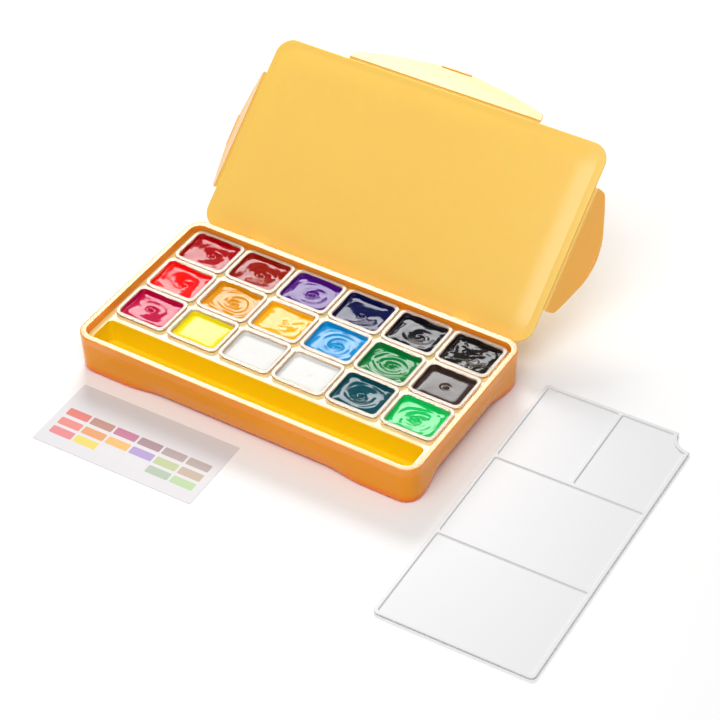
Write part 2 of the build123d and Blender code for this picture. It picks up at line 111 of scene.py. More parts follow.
def smooth_curve(points: Sequence[tuple[float, float]], steps: int) -> list[Vector]:
    """Run an even curve through the points.

    Args:
        points: the points, in order.
        steps: how many pieces each span is cut into.

    Returns:
        Points along the curve, the ends included.
    """
    known = [Vector(point) for point in points]
    known = [known[0] * 2 - known[1]] + known + [known[-1] * 2 - known[-2]]
    curve = []
    for before, start, end, after in zip(known, known[1:], known[2:], known[3:]):
        for step in range(steps):
            t = step / steps
            curve.append(
                0.5 * (2 * start + (end - before) * t + (2 * before - 5 * start + 4 * end - after) * t * t
                       + (3 * start - before - 3 * end + after) * t ** 3))
    curve.append(known[-2])
    return curve


def along_path(path: Sequence[Vector], share: float) -> Vector:
    """Find a place along a path.

    Args:
        path: the path's points.
        share: how far along it, from -1 to 1.

    Returns:
        The point there.
    """
    run = (share + 1) / 2 * (len(path) - 1)
    index = min(int(run), len(path) - 2)
    return path[index].lerp(path[index + 1], run - index)


def barrel(y: float, z: float, steps: int) -> list[tuple[float, float]]:
    """Give the arc of a hinge barrel about (y, z), in steps of 15 degrees."""
    turns = [step * math.pi / 12 for step in range(steps + 1)]
    return [(y + KNUCKLE_RADIUS * math.cos(turn), z + KNUCKLE_RADIUS * math.sin(turn)) for turn in turns]


def laid(centre: Sequence[float], turn: float) -> Matrix:
    """Give the place of a loose piece that lies on the table, turned by some degrees."""
    return Matrix.Translation((*centre, 0)) @ Matrix.Rotation(math.radians(turn), 4, "Z")


# --- the bench
class Pick(Enum):
    """What a selection is made of."""

    VERTS = "VERT"
    EDGES = "EDGE"
    FACES = "FACE"


class Blank:
    """One piece of stock on the bench, in millimetres, shaped by Blender's own operators."""

    def __init__(self, name: str, obj: Piece) -> None:
        """Take a new primitive into edit mode.

        Args:
            name: the piece's name.
            obj: the primitive, still at its place and scale.
        """
        self.obj = obj
        obj.name = name
        obj.data.name = name
        bpy.ops.object.transform_apply(location=True, rotation=True, scale=True)
        bpy.ops.object.mode_set(mode="EDIT")

    @classmethod
    def block(cls, name: str, size: Sequence[float], low: Sequence[float],
              corner: float = 0.0, segments: int = 10) -> "Blank":
        """Start from a block, with its upright edges rounded if asked.

        Args:
            name: the piece's name.
            size: size along X, Y and Z.
            low: centre of its lowest face.
            corner: radius of the upright edges.
            segments: cuts round each corner.

        Returns:
            The blank, in edit mode.
        """
        bpy.ops.object.select_all(action="DESELECT")
        centre = (low[0], low[1], low[2] + size[2] / 2)
        bpy.ops.mesh.primitive_cube_add(size=1.0, location=centre)
        bpy.context.object.scale = size
        blank = cls(name, bpy.context.object)
        if corner:
            blank.pick(Pick.EDGES, upright)
            blank.bevel(corner, segments)
        return blank

    @classmethod
    def prism(cls, name: str, outline: Sequence[tuple[float, float]], low_x: float,
              high_x: float) -> "Blank":
        """Start from a flat outline in the YZ plane, drawn out along X.

        Args:
            name: the piece's name.
            outline: points as (y, z), anticlockwise seen from +X.
            low_x: where it starts.
            high_x: where it ends.

        Returns:
            The blank, in edit mode.
        """
        bpy.ops.object.select_all(action="DESELECT")
        bpy.ops.mesh.primitive_circle_add(vertices=len(outline), fill_type="NGON")
        blank = cls(name, bpy.context.object)
        mesh = blank.mesh()
        mesh.verts.ensure_lookup_table()
        for vert, (y, z) in zip(mesh.verts, outline):
            vert.co = (low_x, y, z)
        bmesh.update_edit_mesh(blank.obj.data)
        bpy.ops.mesh.select_all(action="SELECT")
        blank.extrude((high_x - low_x, 0.0, 0.0))
        blank.face_outwards()
        return blank

    @classmethod
    def grid(cls, name: str, columns: int, rows: int,
             place: Callable[[float, float], Sequence[float]]) -> "Blank":
        """Start from a grid and put each of its points where place says.

        Args:
            name: the piece's name.
            columns: cells across.
            rows: cells along.
            place: gives a point for (across, along), each from -1 to 1.

        Returns:
            The blank, in edit mode.
        """
        bpy.ops.object.select_all(action="DESELECT")
        bpy.ops.mesh.primitive_grid_add(x_subdivisions=columns, y_subdivisions=rows, size=2.0)
        blank = cls(name, bpy.context.object)
        blank.move(lambda at: Vector(place(at.x, at.y)))
        return blank

    def mesh(self) -> bmesh.types.BMesh:
        """Give the mesh being edited."""
        return bmesh.from_edit_mesh(self.obj.data)

    def pick(self, what: Pick, wanted: Callable[[Any], bool]) -> None:
        """Select only the elements that are wanted.

        Args:
            what: verts, edges or faces.
            wanted: says whether an element is wanted.
        """
        bpy.ops.mesh.select_mode(type=what.value)
        bpy.ops.mesh.select_all(action="DESELECT")
        mesh = self.mesh()
        found = [item for item in getattr(mesh, what.name.lower()) if wanted(item)]
        for item in found:
            item.select_set(True)
        mesh.select_flush_mode()
        bmesh.update_edit_mesh(self.obj.data)

    def move(self, place: Callable[[Vector], Vector]) -> None:
        """Put every vertex where place says."""
        mesh = self.mesh()
        for vert in mesh.verts:
            vert.co = place(vert.co.copy())
        bmesh.update_edit_mesh(self.obj.data)

    def bevel(self, offset: float, segments: int) -> None:
        """Round the selected edges."""
        bpy.ops.mesh.bevel(offset=offset, segments=segments, affect="EDGES", clamp_overlap=False)

    def inset(self, thickness: float) -> None:
        """Draw the selected face in by an even border."""
        bpy.ops.mesh.inset(thickness=thickness, use_even_offset=True)

    def extrude(self, shift: Sequence[float]) -> None:
        """Draw the selection out along a shift."""
        bpy.ops.mesh.extrude_region_move(TRANSFORM_OT_translate={"value": tuple(shift)})

    def resize(self, factors: Sequence[float], centre: Sequence[float]) -> None:
        """Scale the selection about a centre."""
        bpy.ops.transform.resize(value=tuple(factors), center_override=tuple(centre))

    def slice_at(self, axis: int, places: Sequence[float]) -> None:
        """Cut the whole mesh with flat planes across an axis.

        Args:
            axis: 0, 1 or 2 for X, Y or Z.
            places: where the planes cross the axis.
        """
        normal = [0.0, 0.0, 0.0]
        normal[axis] = 1.0
        for place in places:
            point = [0.0, 0.0, 0.0]
            point[axis] = place
            bpy.ops.mesh.select_all(action="SELECT")
            bpy.ops.mesh.bisect(plane_co=point, plane_no=normal)

    def face_outwards(self) -> None:
        """Point every face out of the solid."""
        bpy.ops.mesh.select_all(action="SELECT")
        bpy.ops.mesh.normals_make_consistent(inside=False)

    def loose(self) -> Piece:
        """Leave edit mode and give the object, still in millimetres."""
        bpy.ops.object.mode_set(mode="OBJECT")
        return self.obj


def upright(edge: bmesh.types.BMEdge) -> bool:
    """Say whether an edge runs along Z."""
    run = edge.verts[0].co - edge.verts[1].co
    return abs(run.x) + abs(run.y) < 1e-4 < abs(run.z)


def at_height(edge: bmesh.types.BMEdge, height: float) -> bool:
    """Say whether both ends of an edge lie at a height."""
    return all(abs(vert.co.z - height) < 1e-3 for vert in edge.verts)


def folds(edge: bmesh.types.BMEdge) -> bool:
    """Say whether the two faces at an edge turn by more than 30 degrees."""
    return len(edge.link_faces) == 2 and edge.calc_face_angle(0.0) > math.radians(30.0)


def facing(face: bmesh.types.BMFace, direction: Sequence[float]) -> bool:
    """Say whether a face looks along a direction."""
    return face.normal.dot(Vector(direction)) > 0.95


def only(obj: Piece) -> None:
    """Select one object and nothing else."""
    bpy.ops.object.select_all(action="DESELECT")
    obj.select_set(True)
    bpy.context.view_layer.objects.active = obj


def join(objects: Sequence[Piece]) -> Piece:
    """Join objects into the first."""
    only(objects[0])
    for obj in objects:
        obj.select_set(True)
    bpy.ops.object.join()
    return objects[0]


def copy_at(obj: Piece, name: str, shift: Sequence[float]) -> Piece:
    """Copy an object with a mesh of its own, moved in its mesh.

    Args:
        obj: what is copied.
        name: the copy's name.
        shift: how far its mesh is moved.

    Returns:
        The copy.
    """
    twin = obj.copy()
    twin.data = obj.data.copy()
    twin.name = name
    twin.data.name = name
    twin.data.transform(Matrix.Translation(Vector(shift)))
    bpy.context.collection.objects.link(twin)
    return twin


def in_every_pocket(pattern: Piece) -> list[Piece]:
    """Put a copy of a solid at each pocket, which uses the solid up."""
    copies = [copy_at(pattern, pattern.name, (x, y, 0)) for y in CUP_ROWS for x in CUP_COLUMNS]
    bpy.data.objects.remove(pattern, do_unlink=True)
    return copies


def use(obj: Piece, kind: str, **settings: Any) -> None:
    """Add a modifier and apply it at once.

    Args:
        obj: the piece.
        kind: the modifier's type.
        **settings: its settings.
    """
    only(obj)
    modifier = obj.modifiers.new(kind.lower(), kind)
    for key, value in settings.items():
        setattr(modifier, key, value)
    bpy.ops.object.modifier_apply(modifier=modifier.name)


def combine(obj: Piece, other: Piece, operation: str) -> None:
    """Add or cut away another solid, by UNION or DIFFERENCE, which uses that solid up."""
    use(obj, "BOOLEAN", object=other, operation=operation, solver="EXACT")
    bpy.data.objects.remove(other, do_unlink=True)


def finish_piece(obj: Piece, place: Matrix = Matrix.Identity(4), smooth_angle: float = 40.0) -> Piece:
    """Put a finished piece in its place, in metres, with its object at the origin.

    Args:
        obj: the piece, in millimetres.
        place: where it goes, in millimetres.
        smooth_angle: edges that turn by less are shaded smooth.

    Returns:
        The piece.
    """
    obj.data.transform(Matrix.Scale(MM, 4) @ place)
    only(obj)
    bpy.ops.object.shade_smooth_by_angle(angle=math.radians(smooth_angle))
    use(obj, "WEIGHTED_NORMAL", keep_sharp=True, weight=100)
    return obj


def tapered(name: str, half_x: float, half_y: float, corner: float, top: float, bottom: float,
            taper: float, floor_round: float = 0.0, mouth_round: float = 0.0) -> Piece:
    """Make a rounded block that narrows downwards, with a flared mouth if asked.

    Args:
        name: the solid's name.
        half_x: half its width at the top.
        half_y: half its depth at the top.
        corner: corner radius at the top.
        top: height of its mouth.
        bottom: height of its floor.
        taper: how much each side draws in per unit of height.
        floor_round: radius round its floor.
        mouth_round: radius by which its mouth flares out, before it runs on 2 mm upwards.

    Returns:
        The solid, centred on X and Y, in millimetres.
    """
    high = top - mouth_round
    blank = Blank.block(name, (2 * half_x, 2 * half_y, high - bottom), (0, 0, bottom), corner, 8)
    draw_in = taper * (high - bottom)
    blank.pick(Pick.VERTS, lambda vert: vert.co.z < bottom + 1e-3)
    blank.resize((1 - draw_in / half_x, 1 - draw_in / half_y, 1), (0, 0, bottom))
    if floor_round:
        blank.pick(Pick.EDGES, lambda edge: at_height(edge, bottom))
        blank.bevel(floor_round, 4)
    if mouth_round:
        blank.pick(Pick.FACES, lambda face: facing(face, (0, 0, 1)))
        rise = 0.0
        grown = 0.0
        for step in range(1, 5):
            angle = step * math.pi / 8
            new_rise = mouth_round * math.sin(angle)
            new_grown = mouth_round * (1 - math.cos(angle))
            blank.extrude((0, 0, new_rise - rise))
            blank.resize(((half_x + new_grown) / (half_x + grown),
                          (half_y + new_grown) / (half_y + grown), 1), (0, 0, 0))
            rise, grown = new_rise, new_grown
        blank.extrude((0, 0, 2.0))
    return blank.loose()


# --- finishes
def linear(hex_code: str) -> tuple[float, float, float, float]:
    """Turn an sRGB hex colour into linear red, green, blue and alpha."""
    channels = [int(hex_code[at:at + 2], 16) / 255 for at in (1, 3, 5)]
    return (*[c / 12.92 if c <= 0.04045 else ((c + 0.055) / 1.055) ** 2.4 for c in channels], 1.0)


def add_node(tree: Tree, kind: str, settings: dict[str, Any] | None = None,
             feeds: dict[Any, Any] | None = None) -> Node:
    """Add a shader node with its settings and what feeds it.

    Args:
        tree: the node tree.
        kind: the node's type, without its ShaderNode prefix.
        settings: values of the node's own properties.
        feeds: for each input, by name or index, a socket to link or a value to set.

    Returns:
        The node.
    """
    node = tree.nodes.new(f"ShaderNode{kind}")
    for key, value in (settings or {}).items():
        setattr(node, key, value)
    for key, value in (feeds or {}).items():
        if isinstance(value, Socket):
            tree.links.new(value, node.inputs[key])
        else:
            node.inputs[key].default_value = value
    return node


@dataclass(frozen=True)
class Finish:
    """A surface finish, made into one material that the pieces wearing it share."""

    name: str
    slot: str
    colour: str
    roughness: float
    ior: float

    def material(self) -> Material:
        """Give the finish's material, built the first time it is asked for."""
        ready = bpy.data.materials.get(self.name)
        if ready:
            return ready
        material = bpy.data.materials.new(self.name)
        material.use_nodes = True
        tree = material.node_tree
        tree.nodes.clear()
        shader = add_node(tree, "BsdfPrincipled", feeds={
            "Base Color": linear(self.colour), "Roughness": self.roughness, "IOR": self.ior})
        add_node(tree, "OutputMaterial", feeds={"Surface": shader.outputs[0]})
        place = add_node(tree, "TexCoord").outputs["Object"]
        self.detail(tree, shader, place)
        material.diffuse_color = linear(self.colour)
        return material

    def detail(self, tree: Tree, shader: Node, place: Socket) -> None:
        """Add what the eye sees close up; a plain finish adds nothing.

        Args:
            tree: the material's node tree.
            shader: its shader.
            place: the Object coordinates.
        """

    def dress(self, piece: Piece) -> None:
        """Give the whole piece this finish."""
        piece.data.materials.clear()
        piece.data.materials.append(self.material())

    def touch(self, piece: Piece, wanted: Callable[[Vector], bool]) -> None:
        """Give this finish to some faces of a piece that is already dressed.

        Args:
            piece: the piece.
            wanted: says whether a face is wanted, from its centre in metres.
        """
        piece.data.materials.append(self.material())
        last = len(piece.data.materials) - 1
        for face in piece.data.polygons:
            if wanted(face.center):
                face.material_index = last


@dataclass(frozen=True)
class MouldedPolypropylene(Finish):
    """Polypropylene from a spark-eroded mould: a satin skin, slightly milky, with soft mottling."""

    # the colour and height of a painted glow at the foot, standing in for light soaking through near the
    # table
    painted_glow: str = ""
    painted_glow_mm: float = 9.0
    skirt_gloss: float = 0.5
    grain_mm: float = 0.5
    mottle_mm: float = 40.0
    rim_gloss: float = 0.5

    def detail(self, tree: Tree, shader: Node, place: Socket) -> None:
        """Add the mould's grain, a faint mottling of the colour and gloss, and a painted glow at the foot.
        """
        mottle = add_node(tree, "TexNoise", feeds={
            "Vector": place, "Scale": 1 / (self.mottle_mm * MM), "Detail": 2.0})
        tint = add_node(tree, "Mix", {"data_type": "RGBA", "blend_type": "MULTIPLY"}, {
            "Factor": 0.05, 6: linear(self.colour), 7: mottle.outputs["Color"]})
        # painted glow: near the table the colour turns a deeper orange, standing in for light that soaks
        # into the plastic and comes out at the foot
        high = add_node(tree, "SeparateXYZ", feeds={0: place}).outputs["Z"]
        painted_glow_share = add_node(tree, "MapRange", {"interpolation_type": "SMOOTHSTEP"}, {
            "Value": high, "From Max": self.painted_glow_mm * MM,
            "To Min": 1.0 if self.painted_glow else 0.0, "To Max": 0.0})
        painted_glow_colour = add_node(tree, "Mix", {"data_type": "RGBA"}, {
            "Factor": painted_glow_share.outputs[0], 6: tint.outputs[2], 7: linear(self.painted_glow or self.colour)})
        tree.links.new(painted_glow_colour.outputs[2], shader.inputs["Base Color"])
        # the skirt is textured and shines less than the polished rim above it
        gloss = add_node(tree, "MapRange", {"interpolation_type": "SMOOTHSTEP"}, {
            "Value": high, "From Min": (DECK_Z - 1.0) * MM, "From Max": (DECK_Z + 1.0) * MM,
            "To Min": self.skirt_gloss, "To Max": self.rim_gloss})
        tree.links.new(gloss.outputs[0], shader.inputs["Specular IOR Level"])
        # the real grain is about 0.1 mm, drawn coarser so that it shows
        grain = add_node(tree, "TexNoise", feeds={
            "Vector": place, "Scale": 1 / (self.grain_mm * MM), "Detail": 1.0})
        bump = add_node(tree, "Bump", feeds={
            "Strength": 0.12, "Distance": 0.05 * MM, "Height": grain.outputs["Fac"]})
        tree.links.new(bump.outputs[0], shader.inputs["Normal"])
        shader.inputs["Subsurface Weight"].default_value = 0.5
        shader.inputs["Subsurface Radius"].default_value = (1.0, 0.45, 0.12)
        shader.inputs["Subsurface Scale"].default_value = 4 * MM


@dataclass(frozen=True)
class ClearPolypropylene(Finish):
    """Natural polypropylene, as in a yoghurt cup: it lets light through but blurs it."""

    def detail(self, tree: Tree, shader: Node, place: Socket) -> None:
        """Let light through, and cloud it a little."""
        shader.inputs["Transmission Weight"].default_value = 0.6
        cloud = add_node(tree, "TexNoise", feeds={
            "Vector": place, "Scale": 1 / (6.0 * MM), "Detail": 2.0})
        rough = add_node(tree, "MapRange", feeds={
            "Value": cloud.outputs["Fac"], "To Min": self.roughness - 0.05,
            "To Max": self.roughness + 0.08})
        tree.links.new(rough.outputs[0], shader.inputs["Roughness"])


@dataclass(frozen=True)
class GouachePaste(Finish):
    """Wet gouache: opaque pigment in gum, glossy on top, with streaks of thinner binder."""

    streak: str = "#FFFFFF"
    streak_share: float = 0.2

    def detail(self, tree: Tree, shader: Node, place: Socket) -> None:
        """Add streaks of lighter paste, pinholes and a gloss that varies."""
        streaks = add_node(tree, "TexNoise", feeds={
            "Vector": place, "Scale": 1 / (7.0 * MM), "Detail": 4.0, "Distortion": 2.5})
        share = add_node(tree, "MapRange", feeds={
            "Value": streaks.outputs["Fac"], "From Min": 0.45, "From Max": 0.75,
            "To Max": self.streak_share})
        mixed = add_node(tree, "Mix", {"data_type": "RGBA"}, {
            "Factor": share.outputs[0], 6: linear(self.colour), 7: linear(self.streak)})
        tree.links.new(mixed.outputs[2], shader.inputs["Base Color"])
        pores = add_node(tree, "TexNoise", feeds={
            "Vector": place, "Scale": 1 / (1.6 * MM), "Detail": 3.0, "Distortion": 1.0})
        bump = add_node(tree, "Bump", feeds={
            "Strength": 0.1, "Distance": 0.03 * MM, "Height": pores.outputs["Fac"]})
        tree.links.new(bump.outputs[0], shader.inputs["Normal"])


@dataclass(frozen=True)
class GlossPolystyrene(Finish):
    """White polystyrene from a polished mould: even, bright, with a soft gloss."""

    def detail(self, tree: Tree, shader: Node, place: Socket) -> None:
        """Add the faint flow waves of a large thin moulding."""
        flow = add_node(tree, "TexNoise", feeds={
            "Vector": place, "Scale": 1 / (25.0 * MM), "Detail": 1.0})
        bump = add_node(tree, "Bump", feeds={
            "Strength": 0.1, "Distance": 0.1 * MM, "Height": flow.outputs["Fac"]})
        tree.links.new(bump.outputs[0], shader.inputs["Normal"])


@dataclass(frozen=True)
class CoatedCard(Finish):
    """Coated board or the ink printed on it: smooth and nearly matt, with a trace of fibre."""

    def detail(self, tree: Tree, shader: Node, place: Socket) -> None:
        """Add the fibres under the coating."""
        fibre = add_node(tree, "TexNoise", feeds={
            "Vector": place, "Scale": 1 / (1.2 * MM), "Detail": 3.0})
        tint = add_node(tree, "Mix", {"data_type": "RGBA", "blend_type": "MULTIPLY"}, {
            "Factor": 0.04, 6: linear(self.colour), 7: fibre.outputs["Color"]})
        tree.links.new(tint.outputs[2], shader.inputs["Base Color"])


@dataclass(frozen=True)
class DrawnSteel(Finish):
    """Drawn steel wire: bright, with fine lines along its length."""

    def detail(self, tree: Tree, shader: Node, place: Socket) -> None:
        """Make it metal, with drawing lines that run along X."""
        shader.inputs["Metallic"].default_value = 1.0
        stretched = add_node(tree, "Mapping", feeds={"Vector": place, "Scale": (40.0, 4000.0, 4000.0)})
        lines = add_node(tree, "TexNoise", feeds={"Vector": stretched.outputs[0], "Scale": 1.0})
        rough = add_node(tree, "MapRange", feeds={
            "Value": lines.outputs["Fac"], "To Min": 0.25, "To Max": 0.45})
        tree.links.new(rough.outputs[0], shader.inputs["Roughness"])


# the tray's foot gets a painted glow, a deeper orange near the table
TRAY_PLASTIC = MouldedPolypropylene("polypropylene_apricot", "tray_plastic", "#FC9D12", 0.2, 1.64,
                                    painted_glow="#FF6C04", skirt_gloss=0.18)
# the lid is a paler copy of the tray's plastic: painted backlight, standing in for light shining through the
# thin panel
PAINTED_BACKLIGHT_LID_PLASTIC = MouldedPolypropylene("polypropylene_apricot_thin", "tray_plastic", "#FFD263", 0.22, 1.5)
# the flaps and their creases are a paler copy of the tray's plastic: painted light, not a change in the
# plastic
PAINTED_LIGHT_FLAP_PLASTIC = MouldedPolypropylene("polypropylene_apricot_bent", "tray_plastic", "#FFBE5C", 0.22, 1.5)
# the deck is a paler copy of the tray's plastic: painted light, standing in for the light on and through the
# thin deck
PAINTED_LIGHT_DECK_PLASTIC = MouldedPolypropylene("polypropylene_apricot_backlit", "tray_plastic", "#FFDB98", 0.2, 1.64)
# the trough is matt, and a brighter, deeper yellow copy of the plastic: a painted glow for light that passes
# through it and bounces inside
PAINTED_GLOW_TROUGH_PLASTIC = MouldedPolypropylene("polypropylene_apricot_matt", "tray_plastic", "#FFD80E", 0.6, 1.3)
CUP_PLASTIC = ClearPolypropylene("polypropylene_natural", "cup_plastic", "#FBEBD8", 0.2, 1.45)
PALETTE_PLASTIC = GlossPolystyrene("polystyrene_white", "palette_plastic", "#DEDEDF", 0.35, 1.5)
CARD_BOARD = CoatedCard("coated_board", "coated_card", "#DCDADC", 0.45, 1.45)
PIN_STEEL = DrawnSteel("drawn_steel", "pin_steel", "#B9B9BC", 0.35, 1.5)


# --- the tray
@dataclass(frozen=True)
class Scoop:
    """A finger scoop low in one wall, measured from the middle of its side."""

    flat: float
    reach: float
    depth: float
    rise: float


@dataclass
class Tray:
    """The base moulding: walls, rim, deck, cup pockets, brush trough, ribs and hinge knuckles."""

    foot_round: float = 3.0
    rim_round: float = 0.9
    mouth_round: float = 0.5
    rim_width: float = 4.1
    corner: float = 14.0
    mouth_front_shift: float = 0.45
    mouth_back_shift: float = -0.95
    foot_flat: float = 0.4
    scoop_top: float = 19.0
    side_scoop: Scoop = Scoop(38.0, 66.0, 4.5, 2.4)
    front_scoop: Scoop = Scoop(74.0, 108.0, 3.8, 1.4)
    deck_underside: float = 26.7
    trough_y: float = -63.95
    trough_floor: float = 8.0
    rib_thickness: float = 1.6
    rib_height: float = 27.6
    stop_reach: float = 4.5
    stop_top: float = 27.0
    stop_bottom: float = 18.0

    def build(self) -> None:
        """Model the tray and set it in the frame."""
        body = self.shell()
        combine(body, self.underside_parts(), "UNION")
        combine(body, self.cross_rib(), "UNION")
        combine(body, self.hollows(), "DIFFERENCE")
        combine(body, self.hinge_parts(), "UNION")
        finish_piece(body)
        TRAY_PLASTIC.dress(body)
        # the trough's walls and floor get a painted glow
        PAINTED_GLOW_TROUGH_PLASTIC.touch(body, self.in_painted_glow_trough)
        # the deck gets painted light, a paler copy of the plastic
        PAINTED_LIGHT_DECK_PLASTIC.touch(body, self.on_deck)
        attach(body, "base")
        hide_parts("base_tray")

    def in_painted_glow_trough(self, at: Vector) -> bool:
        """Say whether a point, in metres, lies on the trough's walls or floor, which get a painted glow."""
        return (self.trough_floor - 0.1 < at.z / MM < DECK_Z - 0.4 and abs(at.x / MM) < 144.7
                and abs(at.y / MM - self.trough_y) < 14.0)

    def on_deck(self, at: Vector) -> bool:
        """Say whether a point, in metres, lies on the thin deck, where a paler copy of the plastic is
        painted light.
        """
        return abs(at.z / MM - DECK_Z) < 0.05 and abs(at.x / MM) < 149.0 and abs(at.y / MM) < 78.0

    def shell(self) -> Piece:
        """Make the drafted outer body with its rim, sunk deck, hollow underside and scoops."""
        blank = Blank.block("tray_moulding", (2 * TRAY_HALF_X, 2 * TRAY_HALF_Y, TRAY_HEIGHT), (0, 0, 0),
                            self.corner, 14)
        blank.pick(Pick.VERTS, lambda vert: vert.co.z < 1e-3)
        blank.resize((1 - TRAY_DRAFT_INSET / TRAY_HALF_X, 1 - TRAY_DRAFT_INSET / TRAY_HALF_Y, 1),
                     (0, 0, 0))
        blank.pick(Pick.EDGES, lambda edge: at_height(edge, 0.0))
        blank.bevel(self.foot_round, 5)
        blank.pick(Pick.EDGES, lambda edge: at_height(edge, TRAY_HEIGHT))
        blank.bevel(self.rim_round, 4)
        # the rim, and the deck sunk inside it a little to the front
        blank.pick(Pick.FACES, lambda face: facing(face, (0, 0, 1)) and len(face.verts) > 8)
        blank.inset(self.rim_width)
        inner = {vert.index for vert in blank.mesh().verts if vert.select}
        mesh = blank.mesh()
        for vert in mesh.verts:
            if vert.index in inner:
                vert.co.y += self.mouth_front_shift if vert.co.y < 0 else self.mouth_back_shift
        bmesh.update_edit_mesh(blank.obj.data)
        blank.extrude((0, 0, DECK_Z - TRAY_HEIGHT))
        for height in (TRAY_HEIGHT, DECK_Z):
            blank.pick(Pick.EDGES, lambda edge: at_height(edge, height) and folds(edge))
            blank.bevel(self.mouth_round, 4)
        # the hollow underside
        blank.pick(Pick.FACES, lambda face: facing(face, (0, 0, -1)) and len(face.verts) > 8)
        blank.inset(self.foot_flat)
        blank.extrude((0, 0, self.deck_underside))
        blank.slice_at(0, range(-140, 141, 5))
        blank.slice_at(1, range(-65, 66, 5))
        blank.slice_at(2, (1.5, 3.2, 5.0, 7.0, 9.0, 11.0, 13.0, 15.0, 17.0, 19.0, 23.0))
        blank.move(self.scooped)
        return blank.loose()

    def scooped(self, at: Vector) -> Vector:
        """Lean a point of the wall inwards and lift it, where a scoop takes it.

        Args:
            at: a point of the drafted body.

        Returns:
            Its place once the scoops are pressed in.
        """
        fade = max(0.0, 1.0 - at.z / self.scoop_top)
        if fade and abs(at.x) > 145.0:
            share = bell(at.y, self.side_scoop.flat, self.side_scoop.reach)
            lean = self.side_scoop.depth * share * fade ** 1.3
            return at + Vector((-math.copysign(lean, at.x), 0, self.side_scoop.rise * share * fade))
        if fade and at.y < -75.0:
            share = bell(at.x, self.front_scoop.flat, self.front_scoop.reach)
            lean = self.front_scoop.depth * share * fade ** 1.3
            return at + Vector((0, lean, self.front_scoop.rise * share * fade))
        return at

    def underside_parts(self) -> Piece:
        """Make the pocket and trough shells that hang under the deck, and the long rib."""
        top = DECK_Z - 0.5
        pocket = tapered("pocket_shell", 23.0, 19.2, 6.4, top, 2.1, CUP_TAPER, 2.0)
        parts = in_every_pocket(pocket)
        trough = tapered("trough_shell", 146.1, 15.4, 5.5, top, 6.5, TROUGH_TAPER, 3.0)
        trough.data.transform(Matrix.Translation((0, self.trough_y, 0)))
        rib = Blank.block("rib", (297.0, self.rib_thickness, self.rib_height), (0, -3.3, 0)).loose()
        return join([*parts, trough, rib])

    def cross_rib(self) -> Piece:
        """Make the rib that runs front to back under the middle of the deck."""
        return Blank.block("rib", (self.rib_thickness, 131.0, self.rib_height), (0, 16.5, 0)).loose()

    def hollows(self) -> Piece:
        """Make the cutters for the cup pockets and the trough."""
        pocket = tapered("pocket", 21.9, 18.1, 5.3, DECK_Z, 3.3, CUP_TAPER, 1.5, 0.8)
        parts = in_every_pocket(pocket)
        trough = tapered("trough", 144.6, 13.95, 4.0, DECK_Z, self.trough_floor, TROUGH_TAPER, 2.0, 0.5)
        trough.data.transform(Matrix.Translation((0, self.trough_y, 0)))
        return join([*parts, trough])

    def hinge_parts(self) -> Piece:
        """Make the four knuckles on the back wall, and the stop under each of the lid's knuckles."""
        y, z = HINGE_AXIS.y, HINGE_AXIS.z
        wall = TRAY_HALF_Y - 2.0
        knuckle = [(wall, z - 6.0), (TRAY_HALF_Y, z - 6.0), *barrel(y, z, 6), (wall, z + KNUCKLE_RADIUS)]
        on_slope = HINGE_AXIS - LID_ALONG * (KNUCKLE_RADIUS + 0.1)
        top_y = on_slope.y - (self.stop_top - on_slope.z) * math.tan(LID_TILT)
        tip_y = TRAY_HALF_Y + self.stop_reach
        tip_z = on_slope.z - (tip_y - on_slope.y) / math.tan(LID_TILT)
        stop = [(wall, self.stop_bottom), (wall + 1.0, self.stop_bottom), (tip_y, tip_z),
                (top_y, self.stop_top), (wall, self.stop_top)]
        parts = []
        for hinge_x in HINGE_XS:
            for low_x, high_x in ((-16.9, -7.4), (7.4, 16.9)):
                parts.append(Blank.prism("knuckle", knuckle, hinge_x + low_x, hinge_x + high_x).loose())
            parts.append(Blank.prism("stop", stop, hinge_x - 6.0, hinge_x + 6.0).loose())
        return join(parts)


# --- the lid and its flaps
@dataclass
class Lid:
    """The lid: a thin panel with a low crown on its inner face, and two hinge arms."""

    half_x: float = 154.0
    depth: float = 168.4
    thickness: float = 2.0
    corner: float = 15.0
    border: float = 6.5
    slope: float = 17.0
    crown: float = 1.2
    lip: float = 2.5
    edge_round: float = 0.7

    def build(self) -> None:
        """Model the lid lying flat, with its hinge edge on the X axis, then stand it up."""
        blank = Blank.block("lid_panel", (2 * self.half_x, self.depth + self.lip, self.thickness),
                            (0, (self.depth - self.lip) / 2, -self.thickness), self.corner, 12)
        for height in (-self.thickness, 0.0):
            blank.pick(Pick.EDGES, lambda edge: at_height(edge, height))
            blank.bevel(self.edge_round, 3)
        blank.pick(Pick.FACES, lambda face: facing(face, (0, 0, 1)) and len(face.verts) > 8)
        blank.inset(self.border - self.edge_round)
        blank.slice_at(0, range(-148, 149, 4))
        blank.slice_at(1, range(4, 166, 4))
        blank.move(self.crowned)
        panel = blank.loose()
        combine(panel, self.arms(), "UNION")
        finish_piece(panel, LID_PLACE)
        PAINTED_BACKLIGHT_LID_PLASTIC.dress(panel)
        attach(panel, "lid")
        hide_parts("lid")

    def crowned(self, at: Vector) -> Vector:
        """Raise a point of the inner face into the crown."""
        if at.z < -1e-3:
            return at
        middle = (self.depth - self.lip) / 2
        inside = inside_rounded(at.x, at.y - middle, self.half_x, middle + self.lip, 24.0)
        share = min(1.0, max(0.0, (inside - self.border) / self.slope))
        return at + Vector((0, 0, self.crown * share * (2.0 - share)))

    def arms(self) -> Piece:
        """Make the two arms that reach past the back edge and end in the hinge barrels."""
        away = HINGE_AXIS - LID_EDGE
        v, w = away.dot(LID_ALONG), away.dot(LID_INWARD)
        outline = [(v - KNUCKLE_RADIUS, -self.thickness), (0.8, -self.thickness), (0.8, -0.3),
                   (v + KNUCKLE_RADIUS, -0.3), *barrel(v, w, 12)]
        return join([
            Blank.prism("arm", outline, hinge_x - 7.0, hinge_x + 7.0).loose() for hinge_x in HINGE_XS])


